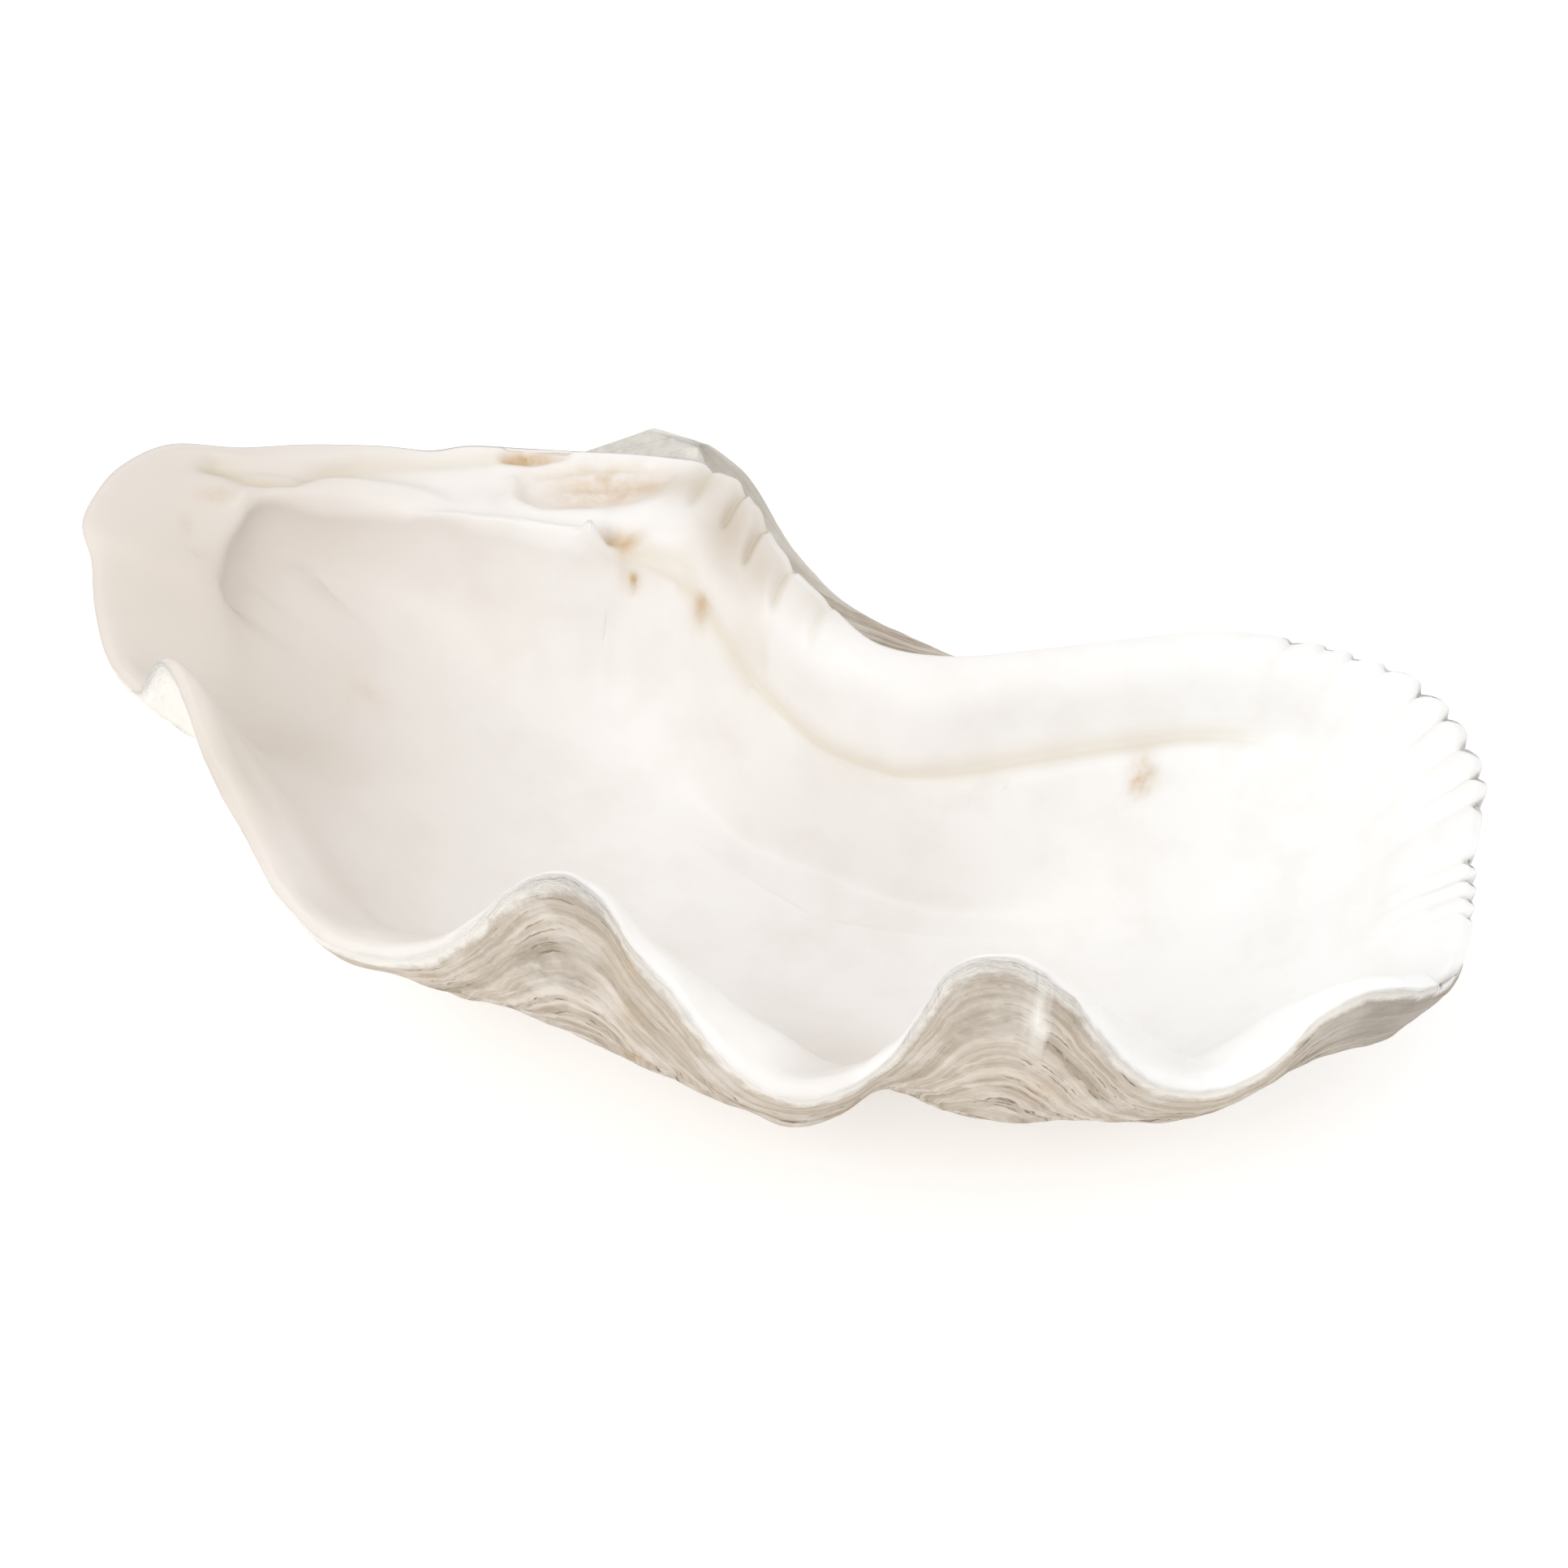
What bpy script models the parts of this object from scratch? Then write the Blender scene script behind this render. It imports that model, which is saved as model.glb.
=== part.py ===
"""One valve of a giant clam, hollow side up, as one closed solid in metres with +Z up."""

import math

import bmesh
import bpy
import numpy as np
from mathutils import Vector
from mathutils.bvhtree import BVHTree

NODE = "clam_valve"
COLLECTION = "giant_clam_shell"

# Everything below is in millimetres: +X along the hinge line, +Y from the wavy edge to the hinge.
UMBO = (-38, 156, 2)  # the point that all growth starts from
KEEL = ((-95, 29), (125, -65))  # ends of the line along the bottom of the hollow
KEEL_ROUND = 25  # rounding about that line
BOWL = (15, -18)  # plan position on it that the inside narrows to
REST_TILT = -7.0  # degrees about X, so that the valve lies as it settles on a table
WORN_FLAT = 2.5  # height worn off the lowest ribs, which makes the flats it stands on

AROUND = 96  # faces round the rim
TURNS = (0, 0.04, 0.09, 0.15, 0.22, 0.3, 0.4, 0.5, 0.62, 0.76, 0.9, 1.05, 1.2, 1.4, 1.6, 1.8,
         2.05, 2.3, 2.6)  # radians grown back from the rim, one ring of points each
INWARD = (1, 2, 2.5, 3, 3.5, 4, 4.5, 5, 5.35, 5.7, 6, 6.2, 6.4, 6.6, 6.8)  # places along a wall profile

WALL = 19.0  # wall between a rib and the floor of the hollow, measured upright
FOLD_REACH = 95.0  # how far a fold runs down the inside
FOLD_FADE = 0.08  # radians over which a fold fades on the outside
RIB_SHARE = 0.25  # share of a fold that is left on the older shell
RIDGE_LEAN = 30.0  # how much wider a fold's ridge gets inside

# How a point of the rim grows, by its direction from the umbo in degrees.
HEADING = (-180, -150, -125, -95, -70, -45, -30, 0, 180)
YOUNG_AXIS = (-30, -26, -12, 6, 14, 32, 48, 53, -30)  # turn of the growth axis near the rim
OLD_AXIS = (-25, -20, -10, 4, 10, 18, 20, 20, -25)  # and far from it
SHRINK = (0.85, 0.85, 0.91, 1.05, 1.35, 1.6, 1.65, 1.65, 0.85)  # per radian
STEEP = (0.1, 0.1, 0.12, 0.28, 0.3, 0.3, 0.28, 0.2, 0.1)  # radians that leave the rim upright

# Wall profiles: distance in from the rim, height over it.
PROFILES = {
    "ear": ((0, 0), (6, 3), (16, 2), (40, -4), (64, -12), (82, -34), (130, -66)),
    "fold": ((0, 0), (4, 3), (9, 0), (17, -15), (36, -44), (64, -72), (110, -100)),
    "channel": ((0, 0), (4, 3), (10, 1), (22, -8), (42, -29), (68, -58), (110, -95)),
    "end": ((0, 0), (4, 2), (8, 0), (18, -8), (45, -28), (85, -52), (140, -82)),
    "wing": ((0, 0), (5, 4), (14, 2), (22, -12), (25, -37), (48, -49), (95, -82)),
    "byssus": ((0, 0), (8, 5), (19, 2), (29, -13), (33, -40), (52, -55), (80, -84)),
    "umbo": ((0, 0), (8, 1), (24, 0), (42, -1), (56, -6), (61, -34), (100, -82)),
    "ligament": ((0, 0), (8, -3), (22, -6), (42, -3), (55, -6), (60, -30), (100, -78)),
    "hinge": ((0, 0), (10, 1), (20, -4), (30, 0), (46, -6), (56, -30), (110, -72)),
}
# Where along its profile each wall starts to give way to the floor.
HOLD = {"ear": 4.3, "fold": 3.0, "channel": 3.0, "end": 3.2, "wing": 4.4, "byssus": 4.2,
        "umbo": 4.6, "ligament": 4.6, "hinge": 4.3}

# The rim, once round: profile, the plain outline, and what a fold adds to it.
RIM = (
    ("ear", -308, 113, -5, 0, 0, 0),
    ("ear", -303, 98, -12, 0, 0, 0),
    ("ear", -299, 73, -17, 0, 0, 0),
    ("ear", -290, 45, -20, 0, 0, 0),
    ("fold", -275, 20, -14, 0, 0, 0),
    ("fold", -263, 3, -11, -1, 0, 23),
    ("fold", -253, -9, -9, -2, 1, 43),
    ("fold", -247, -18, -8, 0, -1, 38),
    ("fold", -238, -30, -8, -2, -4, 26),
    ("fold", -229, -46, -10, -3, -3, 16),
    ("fold", -220, -65, -14, -1, 1, 8),
    ("channel", -207, -85, -20, 0, 0, 0),
    ("channel", -187, -102, -32, 0, 0, 0),
    ("channel", -162, -110, -34, 0, 0, 0),
    ("channel", -142, -119, -34, 2, 3, 12),
    ("fold", -122, -129, -32, 1, 4, 38),
    ("fold", -103, -139, -30, -3, 5, 64),
    ("fold", -88, -148, -29, 0, 9, 79),
    ("fold", -74, -154, -29, 3, 8, 75),
    ("fold", -58, -161, -29, -1, 7, 55),
    ("fold", -42, -168, -29, 0, 7, 33),
    ("channel", -26, -174, -30, -1, 4, 14),
    ("channel", -10, -178, -30, 0, 0, 0),
    ("channel", 7, -180, -36, 0, 0, 0),
    ("channel", 27, -175, -34, 0, 0, 0),
    ("channel", 42, -172, -20, 0, 0, 0),
    ("fold", 59, -176, -23, -6, 5, 29),
    ("fold", 75, -183, -30, -11, 10, 64),
    ("fold", 90, -186, -33, -6, 9, 79),
    ("fold", 103, -186, -33, -1, 6, 69),
    ("fold", 118, -184, -32, -1, 3, 46),
    ("fold", 136, -182, -30, -2, 0, 16),
    ("channel", 153, -180, -30, 0, 0, 0),
    ("channel", 173, -176, -34, 0, 0, 0),
    ("channel", 192, -174, -20, 0, 0, 0),
    ("channel", 211, -168, -11, -4, -3, 15),
    ("fold", 228, -160, -8, -2, -7, 22),
    ("fold", 249, -150, -9, 1, -7, 13),
    ("end", 268, -134, -10, 0, 0, 0),
    ("end", 277, -100, -12, 0, 0, 0),
    ("end", 281, -72, -8, 0, 0, 0),
    ("end", 288, -42, -4, 0, 0, 0),
    ("end", 281, -13, 0, 0, 0, 0),
    ("end", 266, 8, 4, 0, 0, 0),
    ("wing", 246, 19, 6, 0, 0, 0),
    ("wing", 217, 31, 6, 0, 0, 0),
    ("wing", 183, 38, 4, 0, 0, 0),
    ("wing", 149, 38, 0, 0, 0, 0),
    ("wing", 112, 36, -4, 0, 0, 0),
    ("byssus", 74, 33, -6, 0, 0, 0),
    ("byssus", 41, 38, -4, 0, 0, 0),
    ("byssus", 20, 58, 0, 0, 0, 0),
    ("byssus", 1, 83, 4, 0, 0, 0),
    ("byssus", -10, 106, 8, 0, 0, 0),
    ("umbo", -20, 128, 6, 0, 0, 0),
    ("umbo", -40, 146, 3, 0, 0, 0),
    ("umbo", -64, 154, 0, 0, 0, 0),
    ("ligament", -90, 156, 0, 0, 0, 0),
    ("ligament", -115, 158, 0, 0, 0, 0),
    ("ligament", -140, 160, 0, 0, 0, 0),
    ("ligament", -158, 159, -2, 0, 0, 0),
    ("hinge", -180, 162, -2, 0, 0, 0),
    ("hinge", -213, 163, -2, 0, 0, 0),
    ("hinge", -243, 161, -2, 0, 0, 0),
    ("hinge", -274, 161, 0, 0, 0, 0),
    ("ear", -294, 147, 0, 0, 0, 0),
    ("ear", -304, 130, -2, 0, 0, 0),
)


def smooth(x):
    x = np.clip(x, 0.0, 1.0)
    return x * x * (3 - 2 * x)


def curve(rows, at):
    """A smooth curve through the rows, read at the given row numbers."""
    k = np.clip(np.floor(at).astype(int), 1, len(rows) - 3)
    f = (at - k).reshape((-1,) + (1,) * (rows.ndim - 1))
    a, b, c, d = rows[k - 1], rows[k], rows[k + 1], rows[k + 2]
    return b + 0.5 * f * (c - a + f * (2 * a - 5 * b + 4 * c - d + f * (3 * (b - c) + d - a)))


def closed_curve(rows, at):
    """The same round a closed ring of rows."""
    ring = np.concatenate([rows[-2:], rows, rows[:3]])
    return curve(ring, at + 2)


def rim_stations():
    """Evenly spaced stations round the rim: plain outline, fold, wall profile and its hold."""
    numbers = np.array([row[1:] for row in RIM], float)
    walls = np.array([PROFILES[row[0]] for row in RIM], float)
    hold = np.array([HOLD[row[0]] for row in RIM])
    for _ in range(3):
        walls = (np.roll(walls, 1, 0) + 2 * walls + np.roll(walls, -1, 0)) / 4
        hold = (np.roll(hold, 1) + 2 * hold + np.roll(hold, -1)) / 4
    fine = np.linspace(0, len(RIM), len(RIM) * 12 + 1)
    line = closed_curve(numbers, fine)
    line = line[:, :3] + line[:, 3:]
    run = np.append(0, np.cumsum(np.linalg.norm(np.diff(line, axis=0), axis=1)))
    at = np.interp(np.linspace(0, run[-1], AROUND + 1)[:-1], run, fine)
    numbers = closed_curve(numbers, at)
    walls, hold = closed_curve(walls, at), closed_curve(hold, at)
    return numbers[:, :3], numbers[:, 3:], walls, hold


def by_heading(way, values):
    """Values of a table by heading, with the corners of the table eased."""
    degrees = np.arange(-180, 180)
    table = np.interp(degrees, HEADING, values)
    weight = np.exp(-((np.arange(-24, 25) / 9.0) ** 2))
    eased = np.convolve(np.concatenate([table[-24:], table, table[:24]]),
                        weight / weight.sum(), "valid")
    return np.interp(way, np.append(degrees, 180), np.append(eased, eased[0]))


def outside(plain, fold):
    """Rings of the outer face. Each is the rim shrunk and turned about the umbo."""
    umbo = np.array(UMBO, float)
    way = np.degrees(np.arctan2(plain[:, 1] - umbo[1], plain[:, 0] - umbo[0]))
    young, old, shrink, steep = (
        by_heading(way, values) for values in (YOUNG_AXIS, OLD_AXIS, SHRINK, STEEP)
    )
    rings = []
    for turn in TURNS:
        fade = math.exp(-turn / FOLD_FADE)
        share = fade + RIB_SHARE * smooth(turn / 0.9) * (1 - fade)
        axis = np.radians(young + (old - young) * smooth((turn - 0.7) / 1.1))
        reach = plain + fold * share - umbo
        along = reach[:, 0] * np.cos(axis) + reach[:, 1] * np.sin(axis)
        out = reach[:, 0] * np.sin(axis) - reach[:, 1] * np.cos(axis)
        up = reach[:, 2] * math.cos(turn) - out * math.sin(turn)
        out = out * math.cos(turn) + reach[:, 2] * math.sin(turn)
        size = np.exp(-shrink * (turn - steep * (1 - np.exp(-turn / steep))))
        ring = np.stack(
            [
                along * np.cos(axis) + out * np.sin(axis),
                along * np.sin(axis) - out * np.cos(axis),
                up,
            ],
            1,
        )
        rings.append(umbo + ring * size[:, None])
    return np.array(rings)


def quads(rings):
    around = rings.shape[1]
    return [
        (r * around + s, r * around + t, (r + 1) * around + t, (r + 1) * around + s)
        for r in range(len(rings) - 1)
        for s, t in zip(range(around), [*range(1, around), 0])
    ]


def underside(outer):
    """A function that gives the height of the underside at a plan position."""
    tree = BVHTree.FromPolygons([Vector(p) for p in outer.reshape(-1, 3)], quads(outer))

    def heights(x, y):
        found = []
        for place in zip(np.ravel(x), np.ravel(y)):
            hit = tree.ray_cast(Vector((*place, -900)), Vector((0, 0, 1)))[0]
            found.append(hit.z if hit else 0.0)
        return np.reshape(found, np.shape(x))

    return heights


def broadened(plain, fold, far):
    """Height that a fold adds at each distance in. Inwards its ridge widens towards +X."""
    x, y = plain[:, 0], plain[:, 1]
    rows = ((x < -200) & (y < 21)) | ((y < -80) & (x < 255))
    order = np.argsort(plain[rows, 0])
    x, height = plain[rows, 0][order], fold[rows, 2][order]
    lean = RIDGE_LEAN * smooth(far / 33) * smooth((258 - plain[:, 0]) / 40)
    widest = np.where(rows, fold[:, 2], 0)[None, :] + 0 * far
    for share in (0.2, 0.4, 0.6, 0.8, 1.0):
        moved = np.interp(plain[:, 0] - share * lean, x, height)
        widest = np.where(rows, np.maximum(widest, moved), widest)
    return widest


def inside(plain, fold, walls, hold, outer):
    """Rings of the inner face, from the rim in to the bottom of the hollow."""
    start, ends, at = plain[:, :2], np.array(KEEL, float), np.array(INWARD, float)
    line = ends[1] - ends[0]
    share = np.clip((start - ends[0]) @ line / (line @ line), 0, 1)
    foot = ends[0] + share[:, None] * line
    away = start - foot
    reach = np.linalg.norm(away, axis=1)
    foot = foot + away * (KEEL_ROUND / reach)[:, None]
    reach = reach - KEEL_ROUND
    far = np.minimum(walls[:, :, 0], reach[:, None] * (0.3 + 0.7 * np.arange(7) / 6))
    far[:, 6] = reach
    far = curve(np.concatenate([-far[:, 1:2], far, 2 * far[:, 6:] - far[:, 5:6]], 1).T, at + 1)
    high = walls[:, :, 1] + plain[:, 2:]
    high = curve(np.concatenate([high[:, 1:2], high, high[:, 5:6]], 1).T, at + 1)
    fade = np.clip(1 - far / FOLD_REACH, 0, 1) ** 1.6
    part = np.clip(far / reach, 0, 1)[:, :, None]
    plan = start + (foot - start) * part + fold[:, :2] * fade[:, :, None]
    last = np.clip(at - 6, 0, 1)[:, None, None]
    plan = plan + (np.array(BOWL) - plan) * last
    below = underside(outer)
    deep = smooth((at[:, None] - hold) / 2)
    high = high + broadened(plain, fold, far) * fade
    high = high + deep * (below(plan[:, :, 0], plan[:, :, 1]) + WALL - high)
    rings = np.concatenate([plan, high[:, :, None]], 2)
    floor = float(below(*BOWL)) + WALL
    return rings, (*BOWL, floor)


def shell():
    plain, fold, walls, hold = rim_stations()
    outer = outside(plain, fold)
    inner, bottom = inside(plain, fold, walls, hold, outside(plain, 0 * fold))
    rings = np.concatenate([outer[::-1], inner])
    points = np.concatenate([rings.reshape(-1, 3), [bottom, outer[-1].mean(0)]])
    tilt = math.radians(REST_TILT)
    y, z = points[:, 1].copy(), points[:, 2].copy()
    points[:, 1] = y * math.cos(tilt) - z * math.sin(tilt)
    points[:, 2] = y * math.sin(tilt) + z * math.cos(tilt)
    points[:, 2] = np.maximum(points[:, 2] - points[:, 2].min() - WORN_FLAT, 0)
    points[:, :2] -= (points[:, :2].min(0) + points[:, :2].max(0)) / 2
    faces = quads(rings)
    last = (len(rings) - 1) * AROUND
    for s in range(AROUND):
        t = (s + 1) % AROUND
        faces.append((last + s, last + t, len(points) - 2))
        faces.append((t, s, len(points) - 1))
    return points / 1000, faces


def main():
    for old in list(bpy.data.objects):
        bpy.data.objects.remove(old)
    points, faces = shell()
    made = bmesh.new()
    verts = [made.verts.new(p) for p in points]
    for face in faces:
        made.faces.new([verts[i] for i in face])
    bmesh.ops.triangulate(made, faces=made.faces[:])
    bmesh.ops.recalc_face_normals(made, faces=made.faces[:])
    mesh = bpy.data.meshes.new(NODE)
    made.to_mesh(mesh)
    made.free()
    shade = bpy.data.materials.new("shell_lime")
    shade.use_nodes = True
    shade.node_tree.nodes["Principled BSDF"].inputs["Base Color"].default_value = (
        0.86,
        0.82,
        0.75,
        1,
    )
    mesh.materials.append(shade)
    valve = bpy.data.objects.new(NODE, mesh)
    home = bpy.data.collections.new(COLLECTION)
    bpy.context.scene.collection.children.link(home)
    home.objects.link(valve)


main()
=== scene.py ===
"""A giant clam valve lying hollow side up, modelled in full detail inside its CAD frame."""

import math

import bmesh
import bpy
import numpy as np
from bpy.props import FloatProperty, FloatVectorProperty, IntProperty, PointerProperty
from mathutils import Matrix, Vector, noise
from mathutils.bvhtree import BVHTree


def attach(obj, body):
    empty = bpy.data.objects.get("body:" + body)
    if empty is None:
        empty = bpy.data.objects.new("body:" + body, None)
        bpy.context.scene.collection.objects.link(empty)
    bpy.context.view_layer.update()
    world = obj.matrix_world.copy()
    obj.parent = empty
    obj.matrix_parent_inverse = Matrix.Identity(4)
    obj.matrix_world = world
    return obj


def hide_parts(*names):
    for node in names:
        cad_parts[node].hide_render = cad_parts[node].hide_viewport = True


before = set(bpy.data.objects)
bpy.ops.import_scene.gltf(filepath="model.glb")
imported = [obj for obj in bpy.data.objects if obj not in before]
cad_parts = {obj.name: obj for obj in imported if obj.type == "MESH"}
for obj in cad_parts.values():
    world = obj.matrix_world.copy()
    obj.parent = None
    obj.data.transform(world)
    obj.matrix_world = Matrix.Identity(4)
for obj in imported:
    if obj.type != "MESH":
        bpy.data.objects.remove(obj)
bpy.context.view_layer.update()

bl_info = {
    "name": "Giant clam valve",
    "version": (1, 0, 0),
    "blender": (4, 5, 0),
    "location": "View3D > Sidebar > Clam",
    "description": "Models one valve of a giant clam and a plain studio stage",
    "category": "Object",
}

NODE = "clam_valve"
MM = 0.001

# The shell's growth is worked out in millimetres in the plane of its rim, then laid down as the
# valve rests: turned about X and moved to the frame of the CAD model.
REST_TILT = -7.0
REST_SHIFT = (10.06, -0.59, 145.51)

UMBO = (-38, 156, 2)  # the point that all growth starts from
KEEL = ((-95, 29), (125, -65))  # ends of the line along the bottom of the hollow
KEEL_ROUND = 25
BOWL = (15, -18)
WALL = 19.0
FOLD_REACH = 95.0
FOLD_FADE = 0.08
RIB_SHARE = 0.25
RIDGE_LEAN = 30.0  # how much wider a fold's ridge gets inside
LEAN_IN = 33  # distance in over which it gets that width
LEAN_END, LEAN_FADE = 258, 40  # X at which that has stopped, and the length it stops over
FIRST_FOLD = (-200, 21)  # the first fold is below this X and Y
OTHER_FOLDS = (255, -80)  # and the others are below this X and Y

COARSE_TURNS = (0, 0.04, 0.09, 0.15, 0.22, 0.3, 0.4, 0.5, 0.62, 0.76, 0.9, 1.05, 1.2, 1.4, 1.6,
                1.8, 2.05, 2.3, 2.6)  # radians grown back from the rim
HEADING = (-180, -150, -125, -95, -70, -45, -30, 0, 180)
YOUNG_AXIS = (-30, -26, -12, 6, 14, 32, 48, 53, -30)
OLD_AXIS = (-25, -20, -10, 4, 10, 18, 20, 20, -25)
SHRINK = (0.85, 0.85, 0.91, 1.05, 1.35, 1.6, 1.65, 1.65, 0.85)
STEEP = (0.1, 0.1, 0.12, 0.28, 0.3, 0.3, 0.28, 0.2, 0.1)

# Wall profiles: distance in from the rim, height over it.
PROFILES = {
    "ear": ((0, 0), (6, 3), (16, 2), (40, -4), (64, -12), (82, -34), (130, -66)),
    "fold": ((0, 0), (4, 3), (9, 0), (17, -15), (36, -44), (64, -72), (110, -100)),
    "channel": ((0, 0), (4, 3), (10, 1), (22, -8), (42, -29), (68, -58), (110, -95)),
    "end": ((0, 0), (4, 2), (8, 0), (18, -8), (45, -28), (85, -52), (140, -82)),
    "wing": ((0, 0), (5, 4), (14, 2), (22, -12), (25, -37), (48, -49), (95, -82)),
    "byssus": ((0, 0), (8, 5), (19, 2), (29, -13), (33, -40), (52, -55), (80, -84)),
    "umbo": ((0, 0), (8, 1), (24, 0), (42, -1), (56, -6), (61, -34), (100, -82)),
    "ligament": ((0, 0), (8, -3), (22, -6), (42, -3), (55, -6), (60, -30), (100, -78)),
    "hinge": ((0, 0), (10, 1), (20, -4), (30, 0), (46, -6), (56, -30), (110, -72)),
}
# Where along its profile each wall starts to give way to the floor.
HOLD = {"ear": 4.3, "fold": 3.0, "channel": 3.0, "end": 3.2, "wing": 4.4, "byssus": 4.2,
        "umbo": 4.6, "ligament": 4.6, "hinge": 4.3}
# How closely the stations stand along each stretch of the rim.
CLOSENESS = {"ear": 1.2, "fold": 1.0, "channel": 1.0, "end": 2.6, "wing": 1.0, "byssus": 2.3,
             "umbo": 2.0, "ligament": 1.7, "hinge": 1.3}

# The rim, once round: profile, the plain outline, and what a fold adds to it.
RIM = (
    ("ear", -308, 113, -5, 0, 0, 0),
    ("ear", -303, 98, -12, 0, 0, 0),
    ("ear", -299, 73, -17, 0, 0, 0),
    ("ear", -290, 45, -20, 0, 0, 0),
    ("fold", -275, 20, -14, 0, 0, 0),
    ("fold", -263, 3, -11, -1, 0, 23),
    ("fold", -253, -9, -9, -2, 1, 43),
    ("fold", -247, -18, -8, 0, -1, 38),
    ("fold", -238, -30, -8, -2, -4, 26),
    ("fold", -229, -46, -10, -3, -3, 16),
    ("fold", -220, -65, -14, -1, 1, 8),
    ("channel", -207, -85, -20, 0, 0, 0),
    ("channel", -187, -102, -32, 0, 0, 0),
    ("channel", -162, -110, -34, 0, 0, 0),
    ("channel", -142, -119, -34, 2, 3, 12),
    ("fold", -122, -129, -32, 1, 4, 38),
    ("fold", -103, -139, -30, -3, 5, 64),
    ("fold", -88, -148, -29, 0, 9, 79),
    ("fold", -74, -154, -29, 3, 8, 75),
    ("fold", -58, -161, -29, -1, 7, 55),
    ("fold", -42, -168, -29, 0, 7, 33),
    ("channel", -26, -174, -30, -1, 4, 14),
    ("channel", -10, -178, -30, 0, 0, 0),
    ("channel", 7, -180, -36, 0, 0, 0),
    ("channel", 27, -175, -34, 0, 0, 0),
    ("channel", 42, -172, -20, 0, 0, 0),
    ("fold", 59, -176, -23, -6, 5, 29),
    ("fold", 75, -183, -30, -11, 10, 64),
    ("fold", 90, -186, -33, -6, 9, 79),
    ("fold", 103, -186, -33, -1, 6, 69),
    ("fold", 118, -184, -32, -1, 3, 46),
    ("fold", 136, -182, -30, -2, 0, 16),
    ("channel", 153, -180, -30, 0, 0, 0),
    ("channel", 173, -176, -34, 0, 0, 0),
    ("channel", 192, -174, -20, 0, 0, 0),
    ("channel", 211, -168, -11, -4, -3, 15),
    ("fold", 228, -160, -8, -2, -7, 22),
    ("fold", 249, -150, -9, 1, -7, 13),
    ("end", 268, -134, -10, 0, 0, 0),
    ("end", 277, -100, -12, 0, 0, 0),
    ("end", 281, -72, -8, 0, 0, 0),
    ("end", 288, -42, -4, 0, 0, 0),
    ("end", 281, -13, 0, 0, 0, 0),
    ("end", 266, 8, 4, 0, 0, 0),
    ("wing", 246, 19, 6, 0, 0, 0),
    ("wing", 217, 31, 6, 0, 0, 0),
    ("wing", 183, 38, 4, 0, 0, 0),
    ("wing", 149, 38, 0, 0, 0, 0),
    ("wing", 112, 36, -4, 0, 0, 0),
    ("byssus", 74, 33, -6, 0, 0, 0),
    ("byssus", 41, 38, -4, 0, 0, 0),
    ("byssus", 20, 58, 0, 0, 0, 0),
    ("byssus", 1, 83, 4, 0, 0, 0),
    ("byssus", -10, 106, 8, 0, 0, 0),
    ("umbo", -20, 128, 6, 0, 0, 0),
    ("umbo", -40, 146, 3, 0, 0, 0),
    ("umbo", -64, 154, 0, 0, 0, 0),
    ("ligament", -90, 156, 0, 0, 0, 0),
    ("ligament", -115, 158, 0, 0, 0, 0),
    ("ligament", -140, 160, 0, 0, 0, 0),
    ("ligament", -158, 159, -2, 0, 0, 0),
    ("hinge", -180, 162, -2, 0, 0, 0),
    ("hinge", -213, 163, -2, 0, 0, 0),
    ("hinge", -243, 161, -2, 0, 0, 0),
    ("hinge", -274, 161, 0, 0, 0, 0),
    ("ear", -294, 147, 0, 0, 0, 0),
    ("ear", -304, 130, -2, 0, 0, 0),
)


def smooth(x):
    x = np.clip(x, 0.0, 1.0)
    return x * x * (3 - 2 * x)


def bell(x, start, end, soft):
    """1 between start and end, easing to 0 over soft on both sides."""
    return smooth((x - start + soft) / soft) * smooth((end + soft - x) / soft)


def curve(rows, at):
    """A smooth curve through the rows, read at the given row numbers."""
    k = np.clip(np.floor(at).astype(int), 1, len(rows) - 3)
    f = (at - k).reshape((-1,) + (1,) * (rows.ndim - 1))
    a, b, c, d = rows[k - 1], rows[k], rows[k + 1], rows[k + 2]
    return b + 0.5 * f * (c - a + f * (2 * a - 5 * b + 4 * c - d + f * (3 * (b - c) + d - a)))


def closed_curve(rows, at):
    ring = np.concatenate([rows[-2:], rows, rows[:3]])
    return curve(ring, at + 2)


def rim_stations(around):
    """Stations round the rim: row numbers, lengths along it, outline, fold and wall profile."""
    numbers = np.array([row[1:] for row in RIM], float)
    walls = np.array([PROFILES[row[0]] for row in RIM], float)
    close = np.array([CLOSENESS[row[0]] for row in RIM])
    hold = np.array([HOLD[row[0]] for row in RIM])
    for _ in range(3):
        walls = (np.roll(walls, 1, 0) + 2 * walls + np.roll(walls, -1, 0)) / 4
        close = (np.roll(close, 1) + 2 * close + np.roll(close, -1)) / 4
        hold = (np.roll(hold, 1) + 2 * hold + np.roll(hold, -1)) / 4
    fine = np.linspace(0, len(RIM), len(RIM) * 40 + 1)
    line = closed_curve(numbers, fine)
    line = line[:, :3] + line[:, 3:]
    step = np.linalg.norm(np.diff(line, axis=0), axis=1)
    run = np.append(0, np.cumsum(step))
    weight = np.interp(fine, np.arange(len(RIM) + 1), np.append(close, close[0]))
    count = np.append(0, np.cumsum(step * (weight[1:] + weight[:-1]) / 2))
    at = np.interp(np.linspace(0, count[-1], around + 1)[:-1], count, fine)
    numbers = closed_curve(numbers, at)
    hold = closed_curve(hold, at)
    walls = closed_curve(walls, at)
    return at, np.interp(at, fine, run), numbers[:, :3], numbers[:, 3:], walls, hold


def by_heading(way, values):
    """Values of a table by heading, with the corners of the table eased."""
    degrees = np.arange(-180, 180)
    table = np.interp(degrees, HEADING, values)
    weight = np.exp(-((np.arange(-24, 25) / 9.0) ** 2))
    eased = np.convolve(np.concatenate([table[-24:], table, table[:24]]),
                        weight / weight.sum(), "valid")
    return np.interp(way, np.append(degrees, 180), np.append(eased, eased[0]))


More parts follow.
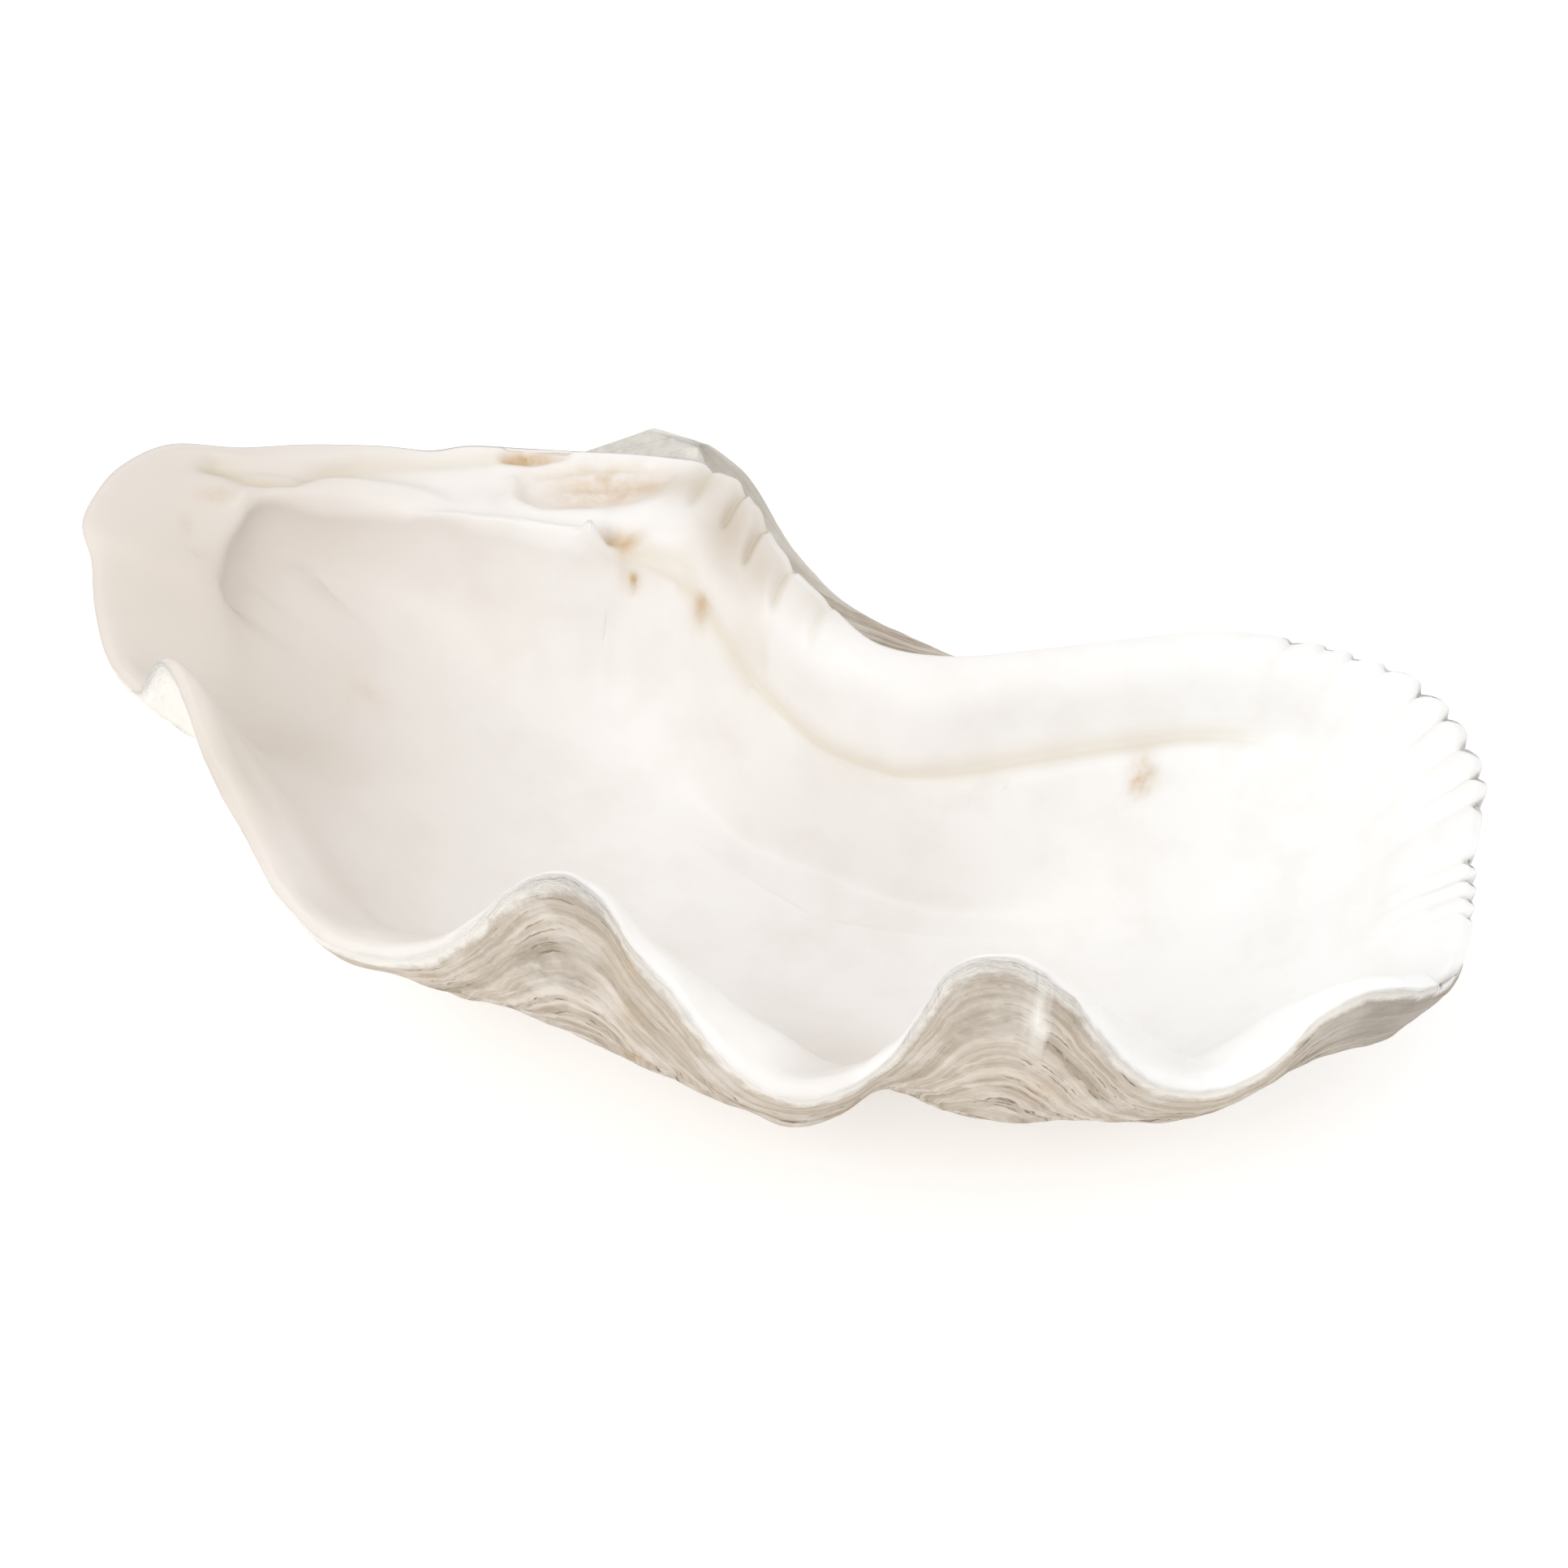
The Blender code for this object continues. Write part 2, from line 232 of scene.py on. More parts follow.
def grown(plain, fold, turns):
    """Rings of the outer face: the rim shrunk and turned about the umbo.

    turns holds one row of radians for each ring, a value for each station."""
    umbo = np.array(UMBO, float)
    way = np.degrees(np.arctan2(plain[:, 1] - umbo[1], plain[:, 0] - umbo[0]))
    young, old, shrink, steep = (
        by_heading(way, values) for values in (YOUNG_AXIS, OLD_AXIS, SHRINK, STEEP)
    )
    rings = []
    for turn in turns:
        fade = np.exp(-turn / FOLD_FADE)
        share = fade + RIB_SHARE * smooth(turn / 0.9) * (1 - fade)
        axis = np.radians(young + (old - young) * smooth((turn - 0.7) / 1.1))
        reach = plain + fold * share[:, None] - umbo
        along = reach[:, 0] * np.cos(axis) + reach[:, 1] * np.sin(axis)
        out = reach[:, 0] * np.sin(axis) - reach[:, 1] * np.cos(axis)
        up = reach[:, 2] * np.cos(turn) - out * np.sin(turn)
        out = out * np.cos(turn) + reach[:, 2] * np.sin(turn)
        size = np.exp(-shrink * (turn - steep * (1 - np.exp(-turn / steep))))
        ring = (along * np.cos(axis) + out * np.sin(axis),
                along * np.sin(axis) - out * np.cos(axis), up)
        rings.append(umbo + np.stack(ring, 1) * size[:, None])
    return np.array(rings)


def underside(plain):
    """A function that gives the height of the rib-free underside at a plan position."""
    turns = np.outer(COARSE_TURNS, np.ones(len(plain)))
    rings = grown(plain, 0 * plain, turns)
    around = len(plain)
    quads = [
        (r * around + s, r * around + t, (r + 1) * around + t, (r + 1) * around + s)
        for r in range(len(rings) - 1)
        for s, t in zip(range(around), [*range(1, around), 0])
    ]
    tree = BVHTree.FromPolygons([Vector(p) for p in rings.reshape(-1, 3)], quads)

    def heights(x, y):
        found = []
        for place in zip(np.ravel(x), np.ravel(y)):
            hit = tree.ray_cast(Vector((*place, -900)), Vector((0, 0, 1)))[0]
            found.append(hit.z if hit else 0.0)
        return np.reshape(found, np.shape(x))

    return heights


def broadened(plain, fold, far):
    """Height that a fold adds at each distance in. Inwards its ridge widens towards +X."""
    x, y = plain[:, 0], plain[:, 1]
    rows = (x < FIRST_FOLD[0]) & (y < FIRST_FOLD[1])
    rows |= (x < OTHER_FOLDS[0]) & (y < OTHER_FOLDS[1])
    order = np.argsort(plain[rows, 0])
    x, height = plain[rows, 0][order], fold[rows, 2][order]
    lean = RIDGE_LEAN * smooth(far / LEAN_IN) * smooth((LEAN_END - plain[:, 0]) / LEAN_FADE)
    widest = np.where(rows, fold[:, 2], 0)[None, :] + 0 * far
    for share in (0.2, 0.4, 0.6, 0.8, 1.0):
        moved = np.interp(plain[:, 0] - share * lean, x, height)
        widest = np.where(rows, np.maximum(widest, moved), widest)
    return widest


def hollow(plain, fold, walls, hold, at):
    """Rings of the inner face at places along the wall profiles, and how far in each lies."""
    start, ends = plain[:, :2], np.array(KEEL, float)
    line = ends[1] - ends[0]
    share = np.clip((start - ends[0]) @ line / (line @ line), 0, 1)
    foot = ends[0] + share[:, None] * line
    away = start - foot
    reach = np.linalg.norm(away, axis=1)
    foot = foot + away * (KEEL_ROUND / reach)[:, None]
    reach = reach - KEEL_ROUND
    far = np.minimum(walls[:, :, 0], reach[:, None] * (0.3 + 0.7 * np.arange(7) / 6))
    far[:, 6] = reach
    far = curve(np.concatenate([-far[:, 1:2], far, 2 * far[:, 6:] - far[:, 5:6]], 1).T, at + 1)
    high = walls[:, :, 1] + plain[:, 2:]
    high = curve(np.concatenate([high[:, 1:2], high, high[:, 5:6]], 1).T, at + 1)
    fade = np.clip(1 - far / FOLD_REACH, 0, 1) ** 1.6
    part = np.clip(far / reach, 0, 1)[:, :, None]
    plan = start + (foot - start) * part + fold[:, :2] * fade[:, :, None]
    last = np.clip(at - 6, 0, 1)[:, None, None]
    plan = plan + (np.array(BOWL) - plan) * last
    below = underside(plain)
    deep = smooth((at[:, None] - hold) / 2)
    high = high + broadened(plain, fold, far) * fade
    high = high + deep * (below(plan[:, :, 0], plan[:, :, 1]) + WALL - high)
    return np.concatenate([plan, high[:, :, None]], 2), far + 40 * np.clip(at - 5, 0, 2)[:, None]


def blurred(grid, cells):
    reach = int(3 * cells)
    weight = np.exp(-((np.arange(-reach, reach + 1) / cells) ** 2))
    for axis in (0, 1):
        grid = np.apply_along_axis(np.convolve, axis, grid, weight, "same")
    return grid


def ease_floor(inner, far, floor, start):
    """Rounds the floor of the hollow: its heights give way to a blurred map of themselves.

    start is how far in from the rim that begins."""
    around = inner.shape[1]
    quads = [
        (r * around + s, r * around + t, (r + 1) * around + t, (r + 1) * around + s)
        for r in range(len(inner) - 1)
        for s, t in zip(range(around), [*range(1, around), 0])
    ]
    tree = BVHTree.FromPolygons([Vector(p) for p in inner.reshape(-1, 3)], quads)
    cell, left, low = 4.0, -340.0, -230.0
    wide, tall = 170, 110
    heights, faces = np.zeros((wide, tall)), np.full((wide, tall), -1)
    for i in range(wide):
        for j in range(tall):
            place, _, face, _ = tree.ray_cast(Vector((left + i * cell, low + j * cell, 900)),
                                              Vector((0, 0, -1)))
            if place:
                heights[i, j], faces[i, j] = place.z, face
    floor = np.maximum(smooth((far - start - 45) / 40), floor)
    # The wider blur reads the floor alone, so that the walls don't lift it.
    for width, share, least in ((2.5, smooth((far - start) / 30), -1), (6.0, floor, 0)):
        known = ((faces >= 0) & (share.ravel()[faces] > least)).astype(float)
        soft = blurred(heights * known, width) / np.maximum(blurred(known, width), 1e-6)
        x = (inner[:, :, 0] - left) / cell
        y = (inner[:, :, 1] - low) / cell
        i, j = np.floor(x).astype(int), np.floor(y).astype(int)
        u, v = x - i, y - j
        found = ((soft[i, j] * (1 - u) + soft[i + 1, j] * u) * (1 - v)
                 + (soft[i, j + 1] * (1 - u) + soft[i + 1, j + 1] * u) * v)
        inner[:, :, 2] += share * (found - inner[:, :, 2])


def lamella_edges(shape, plain):
    """Turns at which growth layers end, a value for each station, and each layer's thickness."""
    drawn = np.random.default_rng(shape.seed)
    edges, turn = [0.0], 0.028
    while turn < 2.45:
        edges.append(turn)
        wide = shape.lamella_width * 1000 / 300 * (1 + 2.6 * max(0.0, turn - 0.55))
        turn += wide * drawn.uniform(0.6, 1.4)
    edges.append(2.6)
    thick = drawn.uniform(0.35, 1.0, len(edges)) * np.where(drawn.random(len(edges)) < 0.22, 2.0, 1)
    rows = []
    for k, edge in enumerate(edges):
        wave = [noise.noise(Vector((p[0] / 26, p[1] / 26, 7.3 * k))) for p in plain]
        room = 0.22 * min(edge - edges[k - 1] if k else 0, 0.05)
        rows.append(edge + room * np.array(wave))
    rows[0] = np.zeros(len(plain))
    return np.array(rows), thick


def face_normals(rings):
    """Unit normals of a grid of rings, closed round, pointing out of the shell."""
    around = np.roll(rings, -1, 1) - np.roll(rings, 1, 1)
    across = np.gradient(rings, axis=0)
    normal = np.cross(around, across)
    return normal / np.maximum(np.linalg.norm(normal, axis=2), 1e-9)[:, :, None]


def noise_field(points, size, seed=0.0):
    """Smooth noise from -1 to 1 whose bumps are about size millimetres across."""
    flat = points.reshape(-1, 3) / size
    found = [noise.noise(Vector((x + seed, y - seed, z + seed))) for x, y, z in flat]
    return np.array(found).reshape(points.shape[:-1])


def path_distance(points, path):
    """Distance in plan from each point to a path, and how far along the path it is, 0 to 1."""
    path = np.array(path, float)
    best = np.full(points.shape[:-1], 1e9)
    along = np.zeros(points.shape[:-1])
    lengths = np.linalg.norm(np.diff(path, axis=0), axis=1)
    before = np.append(0, np.cumsum(lengths))
    for k, (a, b) in enumerate(zip(path[:-1], path[1:])):
        line = b - a
        share = np.clip((points[..., :2] - a) @ line / (line @ line), 0, 1)
        gap = np.linalg.norm(points[..., :2] - a - share[..., None] * line, axis=-1)
        closer = gap < best
        best = np.where(closer, gap, best)
        along = np.where(closer, (before[k] + share * lengths[k]) / before[-1], along)
    return best, along


# Grooves between the teeth beside the umbo: row of the rim, depth.
TEETH = ((54.6, 2.4), (53.75, 4.2), (52.75, 4.6), (51.8, 3.4), (51.0, 1.6))

# Marks worked into the inner face: path in plan, half width, height, and the height at its end.
RELIEF = (
    ("dorsal crease", ((-255, 149), (-240, 143), (-229, 139), (-218, 140), (-207, 147),
                       (-190, 152), (-154, 153), (-132, 154)), 4.5, -4.5, -2.5),
    ("ligament groove", ((-124, 155), (-112, 153), (-98, 155)), 3.0, -4.0, -3.0),
    ("ligament pit", ((-108, 134), (-80, 132), (-54, 136)), 10.0, -5.0, -3.5),
    ("pit layer", ((-110, 145), (-82, 147), (-60, 145)), 1.8, -2.0, -1.4),
    ("pit layer", ((-98, 139), (-70, 138), (-48, 139)), 1.8, -2.0, -1.4),
    ("pit layer", ((-100, 130), (-88, 129), (-66, 128)), 1.8, -1.6, -1.0),
    ("pit edge", ((-120, 140), (-119, 127), (-107, 117), (-98, 117), (-81, 118)), 4.0, 4.0, 2.0),
    ("ridge peak", ((-238, 130), (-226, 132), (-215, 132), (-200, 133), (-186, 134)), 5.0, 6.0,
     1.0),
    ("lobe hollow", ((-255, 116), (-245, 104)), 16.0, -2.5, -2.0),
    ("plate dip", ((-212, 122), (-180, 124), (-150, 126)), 9.0, -3.5, -2.0),
    ("tooth lump", ((-84, 104), (-80, 97)), 3.6, 7.0, 7.0),
    ("tooth socket", ((-76, 106), (-64, 104)), 4.5, -7.0, -4.0),
    ("plate edge", ((-161, 121), (-150, 119), (-131, 113), (-94, 105), (-84, 102)), 3.0, 5.0, 5.0),
    ("cavity arch", ((-70, 100), (-59, 98), (-45, 92), (-36, 80), (-23, 64), (-9, 48)), 3.4, -3.5,
     -1.5),
    ("lobe arc", ((-190, 128), (-204, 127), (-215, 124), (-222, 116), (-230, 99), (-229, 82)), 6.0,
     -1.0, -0.5),
)


# Rings of the inner face, as places along the wall profiles: from, to, how many.
INNER_RINGS = ((0, 3, 25), (3, 5, 14), (5, 6, 9), (6, 7, 8))

CHIP_WAY = (0.3, -0.3, 1.0)  # the way in which chips leave the lip


def outer_face(shape, plain, fold, folded):
    """Rings of the outside from the rim back, and how far from the rim each point lies."""
    edges, thick = lamella_edges(shape, plain)

    # Each growth layer has a ring just past its younger edge and one just before its older edge.
    turns, raised = [edges[0]], [0.0]
    for k in range(1, len(edges)):
        gap = (edges[k] - edges[k - 1]) * 0.06
        turns += [edges[k] - gap, edges[k] + gap]
        raised += [0.0, thick[k]]
    turns, raised = np.array(turns[:-1]), np.array(raised[:-1])
    outer = grown(plain, fold, turns)
    patchy = 0.75 + 0.6 * noise_field(outer, 22, 3.1)
    fade = 1 - 0.5 * smooth((turns - 1.0) / 1.0)
    keep = 0.25 + 0.75 * folded
    lift = raised[:, None] * shape.lamella_height * 1000 * np.maximum(patchy, 0.1) * fade * keep
    rough = noise_field(outer, 9, 11.0) * 0.5 + noise_field(outer, 28, 5.0) * 1.6
    near = np.exp(-turns / 0.03)
    aged = smooth((turns - 1.0) / 0.5)
    lift = (lift + (rough - 1.4) * (1 - near)) * (1 - 0.9 * aged)
    outer = outer + face_normals(outer[::-1])[::-1] * lift[:, :, None]
    steps = np.linalg.norm(np.diff(outer, axis=0), axis=2)
    return outer, np.concatenate([np.zeros((1, len(plain))), np.cumsum(steps, axis=0)])


def inner_face(at, plain, fold, walls, hold):
    """Rings of the inside from the rim in, how far in each lies, and the crease of the roll."""
    places = np.concatenate(
        [np.linspace(start, end, count + 1)[1:] for start, end, count in INNER_RINGS])
    inner, far = hollow(plain, fold, walls, hold, places)
    ease_floor(inner, far, smooth(places[:, None] - 4.9), 30 * hold - 60)
    high = np.zeros(inner.shape[:2])
    for _, path, width, start, end in RELIEF:
        gap, along = path_distance(inner, path)
        high += (start + (end - start) * along) * np.exp(-((gap / width) ** 2))
    inner[:, :, 2] += high

    # The roll beside the umbo ends in a crease, which fades towards the broad end.
    beside = bell(at, 45.8, 54.6, 1.6)
    crease = np.exp(-(((places[:, None] - 4.1) / 0.22) ** 2)) * beside
    inner[:, :, 2] -= 2.5 * crease
    inner[:, :, 2] += 3.0 * np.exp(-(((places[:, None] - 2.9) / 0.6) ** 2)) * beside
    return inner, far, crease


def add_riblets(shape, rings, growth, at, run, rim):
    """Works the riblets of the broad end into the rings, and gives the painted shade in the grooves
    between them.
    """
    along = np.stack([run, 0 * run, 0 * run], 1)
    outward = rim[:, :2] - np.array(BOWL)
    outward /= np.linalg.norm(outward, axis=1)[:, None]
    turn = math.pi * (run / (shape.riblet_pitch * 1000) + 1.1 * noise_field(along, 35, 2.0))
    riblet = 1.6 * np.abs(np.sin(turn)) ** 0.7 - 1.5
    broad = bell(at, 39.2, 44.8, 0.8)
    broad *= 0.8 + 0.5 * noise_field(along, 12, 8.0)
    gone = np.exp(-np.where(growth < 0, -growth / 30, growth / 26) ** 1.5)
    wave = shape.riblet_height * 1000 * broad * riblet * gone
    rings[:, :, :2] += outward * (wave * np.exp(-np.abs(growth) / 8))[:, :, None]
    rings[:, :, 2] += wave * np.where(growth > 0, 1, 0.3)
    return 0.25 * broad * np.clip(-0.2 - riblet, 0, 1) * gone


def add_teeth(shape, rings, growth, at, run):
    """Works the teeth beside the umbo into the lip, and gives the painted shade in the grooves
    between them.
    """
    teeth = np.zeros(len(at))
    for row, depth in TEETH:
        place = np.interp(row, at, run)
        teeth -= depth * np.exp(-(((run - place) / 2.6) ** 2))
        teeth += 0.5 * depth * np.exp(-(((run - place - shape.tooth_pitch * 500) / 6) ** 2))
    worked = bell(growth, -5, 20, 9)
    rings[:, :, 2] += teeth * shape.tooth_height * worked
    return 0.3 * np.clip(-teeth, 0, 3) * worked


def chip_lip(shape, rings, growth, folded):
    """Breaks the chalky lip of the folds."""
    chips = noise_field(rings, 7, 21.0) + noise_field(rings, 16, 31.0) * 1.3 - 0.7
    lip = np.exp(-((growth / 9) ** 2)) * folded * shape.lip_wear
    rings += np.array(CHIP_WAY) * (chips * lip)[:, :, None]


def shell_surface(shape):
    """The whole surface as rings from the beak, over the rim, to the bottom of the hollow.

    It also gives the growth distance of every point, below 0 outside and above 0 inside, and
    the crease tint: the roll's yellowish crease line, and painted shade in the grooves of riblets
    and teeth."""
    at, run, plain, fold, walls, hold = rim_stations(shape.stations)
    folded = bell(at, 3.5, 38.0, 1.5)
    outer, back = outer_face(shape, plain, fold, folded)
    inner, far, roll_crease = inner_face(at, plain, fold, walls, hold)
    rings = np.concatenate([outer[::-1], inner])
    growth = np.concatenate([-back[::-1], far])
    crease = np.concatenate([0 * back, roll_crease])
    crease = np.maximum(crease, add_riblets(shape, rings, growth, at, run, plain + fold))
    crease = np.maximum(crease, add_teeth(shape, rings, growth, at, run))
    chip_lip(shape, rings, growth, folded)
    return rings, growth, crease


def rest(points):
    """Lays points of the rim's frame down as the valve rests, in metres."""
    tilt = math.radians(REST_TILT)
    x, y, z = np.moveaxis(points, -1, 0)
    turned = np.stack([x, y * math.cos(tilt) - z * math.sin(tilt),
                       y * math.sin(tilt) + z * math.cos(tilt)], -1)
    turned = turned + np.array(REST_SHIFT)
    turned[..., 2] = np.maximum(turned[..., 2], 0)
    return turned * MM


# Stains on the inner face: place, radii along the axes, strength.
STAINS = (
    ((153, 3, -47), (5, 9, 7), 0.75),
    ((-66, 97, -23), (2, 4, 4), 0.9),
    ((-35, 79, -20), (4, 5, 5), 0.6),
    ((-251, 132, -4), (9, 3, 6), 0.35),
    ((-263, 116, -6), (2, 4, 5), 0.35),
    ((-255, 102, -8), (5, 1.5, 5), 0.3),
    ((-247, 106, -8), (1.5, 4, 5), 0.3),
    ((-188, 69, -60), (12, 12, 10), 0.16),
    ((-70, 105, -9), (9, 5, 6), 0.7),
    ((-80, 137, -5), (30, 12, 7), 0.6),
    ((-115, 154, -4), (12, 3, 5), 0.9),
)

# Painted shade on the inner face, as broad beige patches where it lies in shade: place, radii along
# the axes, strength.
SHADE_PATCHES = (
    ((-23, 97, 9), (18, 30, 14), 0.85),
    ((-9, 72, 9), (12, 16, 12), 0.6),
    ((12, 54, 6), (12, 14, 12), 0.35),
    ((-38, 128, 4), (14, 12, 10), 0.65),
    ((-56, 134, -1), (16, 8, 8), 0.45),
    ((11, -130, -70), (45, 50, 45), 0.4),
    ((-223, -47, 8), (28, 40, 24), 0.4),
    ((-215, 20, -46), (30, 60, 30), 0.3),
    ((-265, 90, -14), (40, 50, 30), 0.25),
    ((-182, -75, -35), (30, 30, 30), 0.2),
)

# Marks on the outside: place, radii, share of stain, share of grey soil.
OUTER_MARKS = (
    ((-91, -140, -10), (20, 10, 9), 0.0, 0.75),
    ((-59, -143, -56), (6, 8, 5), 1.0, 0.0),
    ((-64, -151, -20), (8, 8, 4), 0.35, 0.0),
    ((97, -176, -38), (9, 8, 5), 0.35, 0.0),
    ((-58, -153, 25), (7, 8, 16), 0.5, 0.0),
    ((107, -181, 23), (7, 8, 5), 0.3, 0.9),
    ((240, -160, -8), (24, 16, 12), 0.0, 0.6),
    ((262, -144, -6), (16, 12, 10), 0.0, 0.7),
    ((75, -178, 10), (20, 12, 14), 0.0, 0.4),
    ((-88, -148, 30), (24, 12, 9), 0.0, 0.4),
    ((-120, -132, -12), (14, 12, 8), 0.0, 0.35),
)

# Lime crusts on the outside of a fold: place, radii.
CRUSTS = (
    ((94, -182, 24), (6, 9, 6)),
    ((97, -184, 15), (4, 9, 7)),
    ((99, -184, 5), (3, 9, 7)),
    ((101, -183, -6), (3.4, 9, 7)),
)


def near_place(points, place, radii, power=2):
    """1 at a place, and towards 0 past the radii along the axes."""
    gap = np.linalg.norm((points - np.array(place)) / np.array(radii), axis=-1)
    return np.exp(-gap ** power)


def tints(rings, growth):
    """Painted shares: stain, soil and a darker tint of grooves that is partly painted shade, crusts
    of lime, and beige patches of painted shade.
    """
    stain, dirt_and_shade, chalk, painted_shade = np.zeros((4, *growth.shape))
    inside = growth > 0
    for place, radii, strength in STAINS:
        stain = np.maximum(stain, strength * near_place(rings, place, radii) * inside)
    # Narrow grooves of the relief are tinted darker along their length.
    for _, path, width, start, _ in RELIEF:
        if start < 0 and width < 6:
            gap, along = path_distance(rings, path)
            share = (0.9 - 0.5 * along) * np.exp(-((gap / (width * 0.8)) ** 2)) * inside
            share *= min(1, -start / 4)
            dirt_and_shade = np.maximum(dirt_and_shade, share)
    # Broad beige patches of painted shade.
    for place, radii, strength in SHADE_PATCHES:
        painted_shade = 1 - (1 - painted_shade) * (1 - strength * near_place(rings, place, radii) * inside)
    for place, radii, stained, soiled in OUTER_MARKS:
        share = near_place(rings, place, radii) * ~inside
        stain, dirt_and_shade = np.maximum(stain, stained * share), np.maximum(dirt_and_shade, soiled * share)
    for place, radii in CRUSTS:
        chalk = np.maximum(chalk, near_place(rings, place, radii, 4) * ~inside)
    return stain, dirt_and_shade, chalk, painted_shade


def linear(code):
    """Linear RGB from an sRGB hex code."""
    parts = [int(code[k:k + 2], 16) / 255 for k in (0, 2, 4)]
    return tuple(c / 12.92 if c <= 0.04045 else ((c + 0.055) / 1.055) ** 2.4 for c in parts)


# Cloudy shares of the finish: name, size in millimetres, detail, range of the noise that is
# used, and the share at each end of it.
CLOUDS = (
    ("mottling", 35, 4, 0.45, 0.75, 0, 0.25),
    ("stain blotches", 9, 4, 0.3, 0.6, 0.4, 1.2),
    ("line patches", 30, 4, 0.4, 0.6, 0.15, 0.9),
    ("bare lime", 22, 5, 0.5, 0.68, 0, 0.3),
    ("soil patches", 6, 5, 0.35, 0.6, 0.2, 0.9),
    ("beak patches", 7, 5, 0.35, 0.6, 0.7, 1),
    ("satin", 20, 4, 0.3, 0.7, 0.38, 0.5),
    ("layer waver", 28, 3, 0, 1, -0.004, 0.004),
    ("layer drift", 20, 2, 0, 1, 0, 1.2),
    ("layer slip", 60, 2, 0, 1, 0, 1.5),
)

# Edges of tints, which waver: name, what they follow, size of the wavering and how far it goes
# to each side, where the tint starts and where it is full, all in millimetres, and its share.
EDGES = (
    ("outside", "growth", 7, 1.5, -0.5, -2.5, 1),
    ("cool end", "X", 120, 60, 80, 240, 1),
    # The left wall is darkened with beige as painted shade.
    ("left wall shade", "X", 100, 50, -60, -240, 0.9),
    ("bleached end", "X", 50, 30, -165, -215, 0.85),
    ("aged beak", "growth", 30, 40, -170, -260, 0.65),
    ("dark corner", "X", 40, 30, 190, 240, 0.6),
    ("worn lip", "growth", 8, 6, -12, -7, 0.8),
)
CLOUD_DETAIL = 4
CLOUD_ROUGHNESS = 0.55
BAND_WIDTH = 6.6  # millimetres of growth for each step of the banded noise


def add(tree, kind, output, inputs, **settings):
    """Adds a node with its settings, sets or links its inputs, and gives one output."""
    node = tree.nodes.new(kind)
    for name, value in settings.items():
        setattr(node, name, value)
    for name, value in inputs.items():
        if isinstance(value, bpy.types.NodeSocket):
            tree.links.new(value, node.inputs[name])
        else:
            node.inputs[name].default_value = value
    return node.outputs[output]


